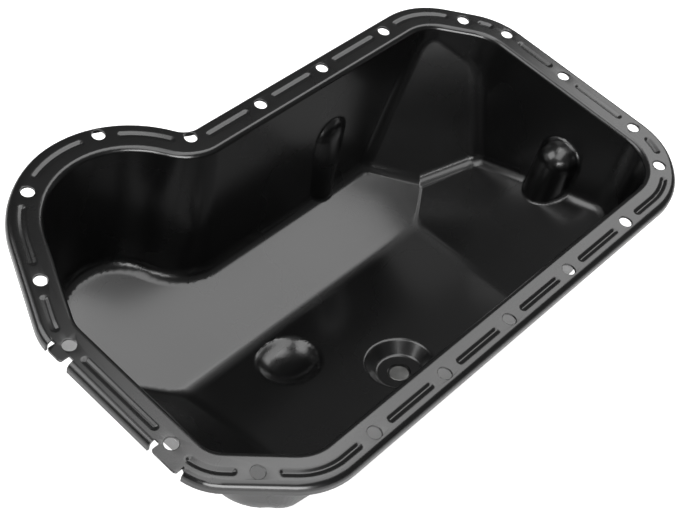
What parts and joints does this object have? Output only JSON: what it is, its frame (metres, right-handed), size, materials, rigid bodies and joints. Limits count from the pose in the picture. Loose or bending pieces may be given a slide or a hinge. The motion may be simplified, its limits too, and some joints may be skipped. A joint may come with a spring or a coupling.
{
  "type": "engine oil pan",
  "caption": "Deep-drawn sheet-steel engine oil pan with a beaded bolting rail, a turned-down lip, a sloping floor with two round pockets, and a drain plug",
  "frame": {"origin": "centre of the middle one of the five bolt holes along the near rail, at the gasket face", "axes": "+Z out of the open top, square to the gasket face; +X along the pan; +Y from the near rail to the far rail"},
  "size_m": [0.399, 0.2543, 0.1207],
  "materials": {
    "black_paint": "satin black enamel",
    "washer_metal": "soft aluminium, turned",
    "plug_steel": "zinc-plated steel"
  },
  "bodies": {
    "root": {"pan": "black_paint", "drain_bush": "black_paint", "drain_washer": "washer_metal", "drain_plug": "plug_steel"}
  },
  "joints": []
}
